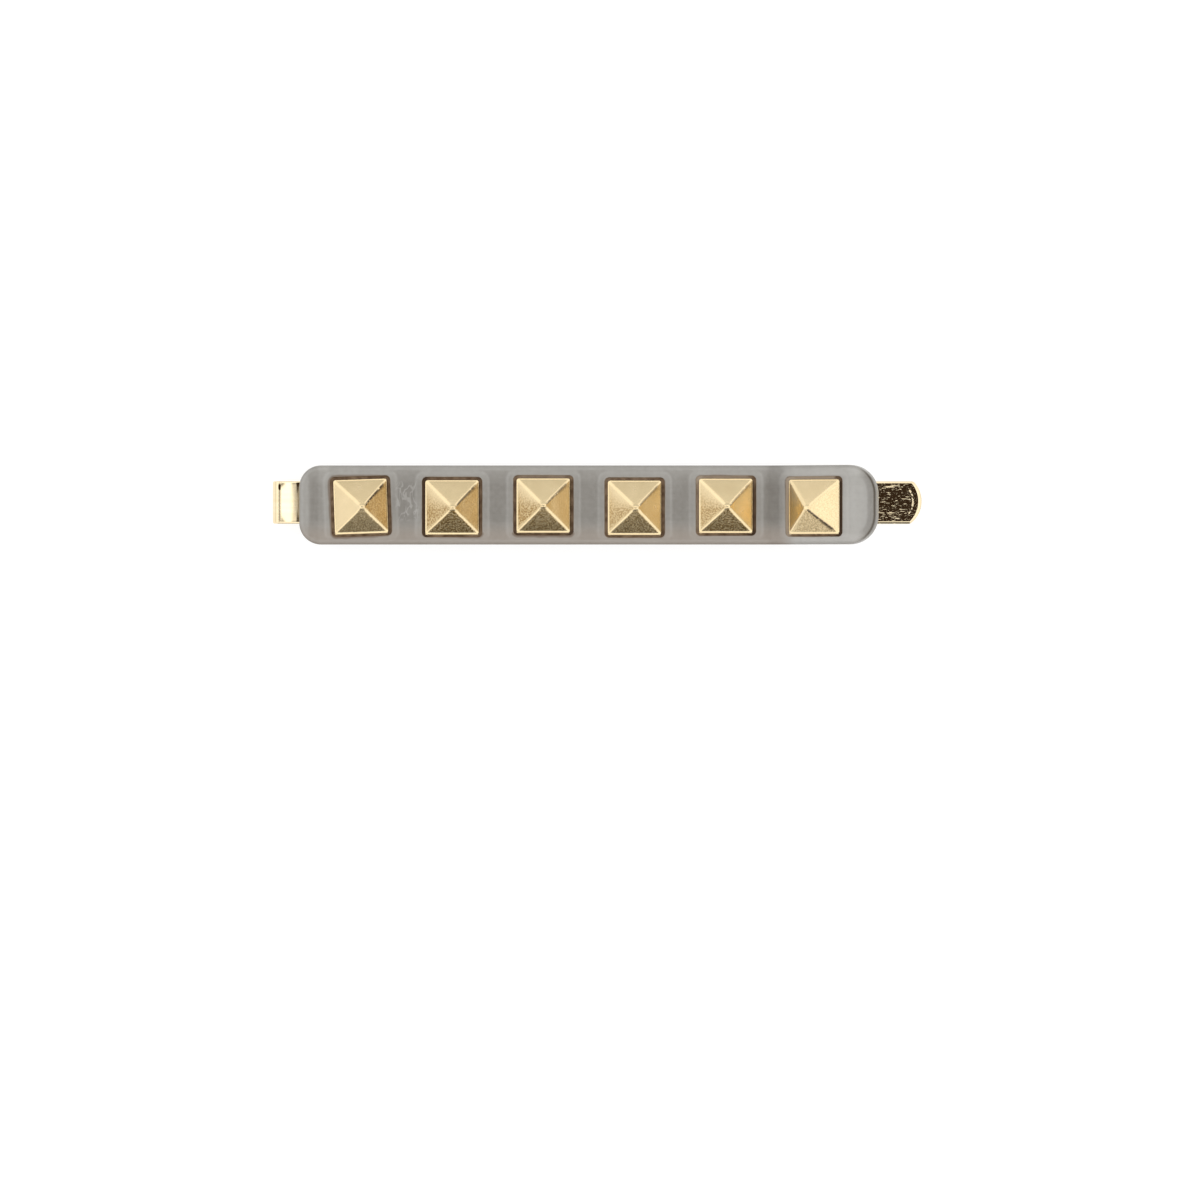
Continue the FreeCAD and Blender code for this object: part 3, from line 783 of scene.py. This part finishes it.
# The sheet turns brown in a soft margin round each recess's lip, widest round the first one and
# on the near lips of the next two.
near_lips = product_of(
    tree, ramp(tree, across_bar, -2.9, -3.2), ramp(tree, along_bar, -20.0, -8.0),
    ramp(tree, along_bar, -1.0, -3.0), 0.2)
margin_clouds = noise(tree, where, (260, 260, 260), detail=3.0)
margin_reach = sum_of(
    tree, ramp(tree, margin_clouds, 0.35, 0.7, -0.06, 0.1, "LINEAR"),
    ramp(tree, along_bar, -22.0, -25.0, 0.0, 0.16), near_lips)
brown_margin_share = ramp(
    tree, worked_out(tree, "SUBTRACT", (margin_reach, recess_gap)), -0.14, 0.14, 0.0, 0.75)
sheet_tone = blend_of(tree, brown_margin_share, sheet_tone, BROWN_MARGIN)

# The skin swells a little, and its edge is buffed duller than its face.
SKIN_HEIGHT = 0.03
swell = noise(tree, where, (500, 350, 350), detail=2.0)
skin = sum_of(tree, product_of(tree, swell, 2.0), product_of(tree, marks, 0.5))
rub = noise(tree, where, (2400, 2400, 2400), detail=2.0)
wire(tree, sheet, {
    "Base Color": sheet_tone,
    "Normal": add(tree, "Bump", {"Height": skin, "Distance": SKIN_HEIGHT * MM}),
    "IOR": 1.5,
    "Specular IOR Level": ramp(tree, edge_gap, 0.0, 0.4, 0.08, 0.5),
    "Roughness": ramp(tree, rub, 0.0, 1.0, 0.18, 0.3, "LINEAR"),
})
bar.data.materials.append(acetate)
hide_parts("bar")
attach(bar, "upper_side")


# Stud beds: brown glue that fills each recess round and under its stud.
# It shows as a narrow soft margin, and creeps a little up the stud and the recess's wall.
BED_PROFILE = [
    (2.9, -0.6), (3.3, -0.6), (3.3, -0.07), (3.27, -0.1), (3.2, -0.14), (3.1, -0.15),
    (3.04, -0.13), (3.0, -0.09), (2.96, -0.2), (2.9, -0.6),
]
BED_CORNER = 0.4
CLOT_HEIGHT = 0.08
SIDE_STEPS = 10
CORNER_STEPS = 6
# How much painted shade the glue takes on the right, far, left and near side of each stud.
# Below 0, that side is painted lighter, as lit.
BED_SIDE_SHADING = [
    (0.35, -0.15, 0.1, -0.05), (0.35, 0.0, 0.8, -0.05), (0.35, -0.45, 0.3, 0.35),
    (0.35, -0.2, -0.1, 0.0), (0.6, -0.6, -0.4, 0.25), (1.2, -0.75, -0.85, 0.15),
]
DARK_GLUE = (0.085, 0.048, 0.024, 1.0)
CLOUDY_GLUE = (0.19, 0.128, 0.078, 1.0)
# Painted shade and painted light for the glue's sides.
SHADED_GLUE = (0.045, 0.024, 0.011, 1.0)
LIT_GLUE = (0.33, 0.265, 0.2, 1.0)


def square_loop(half_side, corners):
    """Points round a square, anticlockwise from its +X side, with a radius for each corner."""
    loop = []
    for quarter in range(4):
        turn = math.radians(90) * quarter
        before, after = corners[quarter - 1], corners[quarter]
        for step in range(SIDE_STEPS):
            y = -half_side + before + (2 * half_side - before - after) * step / SIDE_STEPS
            loop.append((half_side, y, turn))
        for step in range(CORNER_STEPS):
            angle = math.radians(90) * step / CORNER_STEPS
            inner = half_side - after
            loop.append((inner + after * math.cos(angle), inner + after * math.sin(angle), turn))
    turned = []
    for x, y, turn in loop:
        across = x * math.sin(turn) + y * math.cos(turn)
        turned.append((x * math.cos(turn) - y * math.sin(turn), across))
    return turned


def stud_seat(number):
    """The place and lie of a stud's recess in the bar's top."""
    spin = Matrix.Rotation(STUD_TURNS[number], 4, "Z")
    if number < STUD_COUNT - 1:
        place = Vector((BAR_X + STUD_STATIONS[number], STUD_SIDES[number], BAR_TOP)) * MM
        return Matrix.Translation(place) @ spin
    x, z = along_flare(BAR_TOP, STUD_STATIONS[number] - BAR_FLAT_LENGTH - BEND_LENGTH)
    place = Vector((x, STUD_SIDES[number], z)) * MM
    return Matrix.Translation(place) @ Matrix.Rotation(-FLARE, 4, "Y") @ spin


def stacked_loops(name, loops, seat):
    """A piece skinned over loops, in millimetres on its seat, and closed at the last."""
    size = len(loops[0])
    points = [seat @ (Vector(point) * MM) for loop in loops for point in loop]
    faces = []
    for level in range(len(loops) - 1):
        for place in range(size):
            a, b = level * size + place, level * size + (place + 1) % size
            faces.append((a, b, b + size, a + size))
    faces.append(tuple(range((len(loops) - 1) * size, len(loops) * size)))
    return new_piece(name, points, faces, 60)


def side_shading_at(number, x, y):
    """How much painted shade the glue takes at a place round a stud; below 0, painted light."""
    sides = zip(BED_SIDE_SHADING[number], (x, y, -x, -y))
    return sum(tone_share * float(eased(side, 2.5, 2.9)) for tone_share, side in sides)


brown_glue, tree, glue = new_material("brown_glue")
where = add(tree, "TexCoord", {}, "Object")
clots = noise(tree, where, (1100, 1100, 1100), detail=4.0)
side_shading = stored(tree, "side_shading")
glue_colour = blend_of(tree, ramp(tree, clots, 0.3, 0.7), DARK_GLUE, CLOUDY_GLUE)
# Its sides are painted darker where shade falls and lighter where lit.
glue_colour = blend_of(tree, ramp(tree, side_shading, 0.0, 1.0), glue_colour, SHADED_GLUE)
glue_colour = blend_of(tree, ramp(tree, side_shading, 0.0, -1.0), glue_colour, LIT_GLUE)
wire(tree, glue, {
    "Base Color": glue_colour,
    "Roughness": ramp(tree, clots, 0.2, 0.8, 0.25, 0.45, "LINEAR"),
    "Normal": add(tree, "Bump", {"Height": clots, "Distance": CLOT_HEIGHT * MM}),
    "Specular IOR Level": 0.12,
})
for number in range(STUD_COUNT):
    loops = []
    for half_side, height in BED_PROFILE:
        loop = square_loop(half_side, [BED_CORNER] * 4)
        loops.append([(x, y, height) for x, y in loop])
    bed = stacked_loops(f"glue_bed_{number + 1}", loops, stud_seat(number))
    store(bed, "side_shading", [side_shading_at(number, x, y) for loop in loops for x, y, z in loop])
    bed.data.materials.append(brown_glue)
    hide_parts(f"stud_bed_{number + 1}")
    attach(bed, "upper_side")


# Pyramid studs: square caps stamped from thin brass, plated gold and tumbled to a satin.
# Each has four slightly crowned slopes, a low lip round its base, and hips of uneven softness.
# A broken dark line lies beside one hip, and the stamping left the tip a little off.
STUD_HALF_SIDE = 3.0
LIP_PROFILE = [
    (3.0, -0.45), (3.0, -0.2), (2.99, -0.155), (2.965, -0.125), (2.93, -0.108), (2.89, -0.095),
    (2.85, -0.079), (2.815, -0.058),
]
SLOPE_SIDES = (2.7, 2.4, 2.1, 1.8, 1.5, 1.2, 0.9, 0.6, 0.4, 0.27)
TIP_PROFILE = [(0.2, 1.8), (0.15, 1.825), (0.1, 1.84), (0.04, 1.846)]
TIP_HEIGHT = 1.85
TIP_HALF_SIDE = 0.13
TIP_RIDGE = 0.11
CROWN = 0.22
# The lip is spread on the near side and squeezed on the right.
LIP_SPREAD = 0.08
LIP_SQUEEZE = 0.06
LIP_CORNER = 0.2
HIP_CORNERS = (0.24, 0.34, 0.15, 0.28)
# How far each tip lies right of the stud's middle, and near of it.
TIP_SIDES = (0.2, 0.1, 0.0, 0.12, 0.12, -0.26)
TIP_NEARS = (0.1, 0.12, 0.03, 0.06, 0.14, 0.18)
# The dark line: which hip it lies at, how dark it is, and its share at steps round that corner.
DARK_LINE_HIPS = (0, 0, 0, 0, 0, 3)
DARK_LINE_STRENGTHS = (1.0, 0.85, 0.75, 0.6, 0.5, 1.0)
DARK_LINE_STEPS = {10: 0.8, 11: 1.0, 12: 1.0, 13: 0.6}
# How coarse the grain is on three slopes of each stud; its brown pits also paint the slope's
# shade. Below 0, the slope is painted redder, as a reflection of the gold beside it.
NEAR_GRAIN_AND_SHADING = (0.5, 1.0, 0.8, 0.75, 0.9, 0.4)
RIGHT_GRAIN_AND_SHADING = (0.5, 0.4, 0.15, 0.0, 0.12, 0.25)
LEFT_GRAIN_AND_SHADING = (0.0, 1.0, 1.0, 0.85, 0.9, -1.0)
GRAIN_BOTTOM = -0.03
GRAIN_HEIGHT = 0.016
# How clearly pits stand out in the grain, on the near slope and on the others.
NEAR_PITS = 1.0
OTHER_PITS = 0.6
PALE_GOLD = (0.93, 0.755, 0.465, 1.0)
DEEP_GOLD = (0.85, 0.675, 0.395, 1.0)
# A painted reflection's red, and a brown for pits that also paints shade.
REFLECTED_RED_GOLD = (0.98, 0.69, 0.29, 1.0)
PIT_AND_SHADE_BROWN = (0.36, 0.22, 0.07, 1.0)
DARK_HIP_LINE = (0.06, 0.04, 0.025, 1.0)


def stud_loops(tip_side, tip_near):
    """Loops from under the lip to the tip, which is a short ridge."""
    base, base_height = LIP_PROFILE[-1]
    profile = list(LIP_PROFILE)
    for half_side in SLOPE_SIDES:
        share = (base - half_side) / (base - TIP_HALF_SIDE)
        height = base_height + TIP_HEIGHT * share + CROWN * share * (1 - share)
        profile.append((half_side, height))
    loops = []
    for half_side, height in profile + TIP_PROFILE:
        share = float(eased(2.93 - half_side, 0.0, 0.3))
        corners = [LIP_CORNER + (hip - LIP_CORNER) * share for hip in HIP_CORNERS]
        corners = [min(corner, 0.8 * half_side) for corner in corners]
        risen = max(height, 0.0) / TIP_HEIGHT
        longer = 1 + TIP_RIDGE / half_side * (1 - float(eased(half_side, 0.2, 0.9)))
        on_lip = float(eased(half_side, 2.82, 2.92)) / STUD_HALF_SIDE
        loop = []
        for x, y in square_loop(half_side, corners):
            x -= x * LIP_SQUEEZE * on_lip if x > 0 else 0
            y += y * LIP_SPREAD * on_lip if y < 0 else 0
            loop.append((x * longer + tip_side * risen, y - tip_near * risen, height))
        loops.append(loop)
    return loops


def grain_and_shading_at(number, x, y):
    """Grain with painted shade at a place on a stud; below 0, painted reflection. It fades to the
    hips.
    """
    run, rise = abs(x), abs(y)
    if rise > run:
        return 0.0 if y > 0 else NEAR_GRAIN_AND_SHADING[number] * float(eased(rise - run, 0.0, 0.3))
    if x > 0:
        return RIGHT_GRAIN_AND_SHADING[number] * float(eased(run - rise, 0.0, 0.3))
    low_down = float(eased(0.9 - y / max(run, 0.1), 0.0, 1.3))
    return LEFT_GRAIN_AND_SHADING[number] * low_down * float(eased(run - rise, 0.0, 0.4))


def dark_line_at(number, level, step_round):
    """How dark the line beside the hip is at a step round a loop."""
    quarter, step = divmod(step_round, SIDE_STEPS + CORNER_STEPS)
    on_slope = len(LIP_PROFILE) < level < len(LIP_PROFILE) + len(SLOPE_SIDES)
    if not on_slope or quarter != DARK_LINE_HIPS[number]:
        return 0.0
    return DARK_LINE_STRENGTHS[number] * DARK_LINE_STEPS.get(step, 0.0)


satin_gold, tree, plate = new_material("satin_gold")
where = add(tree, "TexCoord", {}, "Object")
grain = noise(tree, where, (6000, 6000, 6000), detail=2.0, roughness=0.6)
wear = noise(tree, where, (900, 900, 900), detail=2.0)
grain_and_shading = stored(tree, "grain_and_shading")
plate_colour = blend_of(tree, wear, DEEP_GOLD, PALE_GOLD)
# Below 0 the slope is painted redder as a reflection; above 0 the pits paint its shade brown.
plate_colour = blend_of(tree, ramp(tree, grain_and_shading, 0.0, -1.0), plate_colour, REFLECTED_RED_GOLD)
depth = product_of(tree, ramp(tree, grain, 0.4, 0.6, -0.5, 0.5), stored(tree, "pitted"))
pits_and_shade = product_of(tree, ramp(tree, grain_and_shading, 0.0, 1.0, shape="LINEAR"), sum_of(tree, depth, 0.63))
plate_colour = blend_of(tree, pits_and_shade, plate_colour, PIT_AND_SHADE_BROWN)
broken = ramp(tree, noise(tree, where, (3400, 3400, 3400), detail=2.0), 0.28, 0.48)
dark_hip_share = product_of(tree, stored(tree, "dark_line"), broken)
grain_height = product_of(tree, grain, ramp(tree, grain_and_shading, 0.0, 1.0, 1.0, 1.6, "LINEAR"))
wire(tree, plate, {
    "Base Color": blend_of(tree, dark_hip_share, plate_colour, DARK_HIP_LINE),
    "Metallic": 1.0,
    "Normal": add(tree, "Bump", {"Height": grain_height, "Distance": GRAIN_HEIGHT * MM}),
    "Roughness": ramp(tree, wear, 0.0, 1.0, 0.2, 0.3, "LINEAR"),
})
for number in range(STUD_COUNT):
    loops = stud_loops(TIP_SIDES[number], TIP_NEARS[number])
    stud = stacked_loops(f"pyramid_stud_{number + 1}", loops, stud_seat(number))
    dark_line_values, grain_and_shading_values, pitting = [], [], []
    for level, loop in enumerate(loops):
        for step_round, (x, y, z) in enumerate(loop):
            risen = max(z, 0.0) / TIP_HEIGHT
            x, y = x - TIP_SIDES[number] * risen, y + TIP_NEARS[number] * risen
            dark_line_values.append(dark_line_at(number, level, step_round))
            grain_and_shading_values.append(grain_and_shading_at(number, x, y) if z > GRAIN_BOTTOM else 0.0)
            pitting.append(NEAR_PITS if -y > abs(x) else OTHER_PITS)
    store(stud, "dark_line", dark_line_values)
    store(stud, "grain_and_shading", grain_and_shading_values)
    store(stud, "pitted", pitting)
    stud.data.materials.append(satin_gold)
    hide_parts(f"stud_{number + 1}")
    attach(stud, "upper_side")


# Table: a white sheet that the pin lies on. It looks evenly white, and still takes the pin's
# shadow.
TABLE_REACH = 3
TABLE_DROP = 0.02
corners = [(-TABLE_REACH, -TABLE_REACH, 0), (TABLE_REACH, -TABLE_REACH, 0),
           (TABLE_REACH, TABLE_REACH, 0), (-TABLE_REACH, TABLE_REACH, 0)]
floor = new_piece("table", corners, [(0, 1, 2, 3)], 50)
floor.location.z = -TABLE_DROP * MM
white_sheet, tree, paper = new_material("white_sheet")
wire(tree, paper, {
    "Base Color": (0.28, 0.28, 0.28, 1.0),
    "Roughness": 0.9,
    "Emission Color": (1.0, 1.0, 1.0, 1.0),
    "Emission Strength": 0.78,
})
floor.data.materials.append(white_sheet)


# Light: a white tent over the table, brightest round the hole in its top for the camera. Polished
# metal mirrors that hole as black. The far and right walls are dimmer, and a dark card stands on
# the near side. Each part is a range of directions, with its own brightness.
tent = bpy.data.worlds.new("white_tent")
bpy.context.scene.world = tent
tent.use_nodes = True
tree = tent.node_tree
where = add(tree, "TexCoord", {}, "Generated")
toward_x, toward_y = part_of(tree, where, "X"), part_of(tree, where, "Y")
upward = part_of(tree, where, "Z")


def within(wide, narrow):
    """The directions within an angle of straight up, fading out between two angles."""
    return ramp(tree, upward, math.cos(math.radians(wide)), math.cos(math.radians(narrow)))


near_card = product_of(
    tree, ramp(tree, toward_y, -0.78, -0.9), ramp(tree, apart(tree, toward_x, 0.0), 0.5, 0.32))
crown = product_of(
    tree, within(28, 21), ramp(tree, toward_x, 0.06, 0.14),
    ramp(tree, apart(tree, toward_y, 0.0), 0.22, 0.12))
seen = add(tree, "LightPath", {}, "Is Camera Ray")
walls = (1.06, 1.06, 1.06, 1.0)
for part, brightness in (
    (ramp(tree, upward, 0.42, 0.62), (1.25, 1.25, 1.25, 1.0)),
    (ramp(tree, toward_y, 0.78, 0.88), (0.705, 0.7, 0.68, 1.0)),
    (ramp(tree, toward_x, 0.82, 0.92), (0.6, 0.46, 0.255, 1.0)),
    (ramp(tree, toward_x, -0.8, -0.9), (0.96, 0.96, 0.97, 1.0)),
    (near_card, (0.18, 0.18, 0.175, 1.0)),
    (crown, (1.7, 1.7, 1.7, 1.0)),
    (within(14.5, 6.5), (0.035, 0.022, 0.014, 1.0)),
    (seen, (1.0, 1.0, 1.0, 1.0)),
):
    walls = blend_of(tree, part, walls, brightness)
wire(tree, tree.nodes["Background"], {"Color": walls})


# Camera: straight above the table, with a long lens, framed as the photograph is.
FRAME_WIDTH = 132.0
FRAME_X = 0.275
FRAME_Y = -10.45
FRAME_Z = 3.0
LENS = 200.0
SENSOR_WIDTH = 36.0
camera_data = bpy.data.cameras.new("copy_stand")
camera_data.lens = LENS
camera_data.sensor_width = SENSOR_WIDTH
camera_data.clip_start = 0.01
camera = bpy.data.objects.new("copy_stand", camera_data)
camera_height = FRAME_Z + FRAME_WIDTH * LENS / SENSOR_WIDTH
camera.location = (FRAME_X * MM, FRAME_Y * MM, camera_height * MM)
bpy.context.scene.collection.objects.link(camera)
bpy.context.scene.camera = camera
bpy.context.scene.view_settings.view_transform = "Standard"
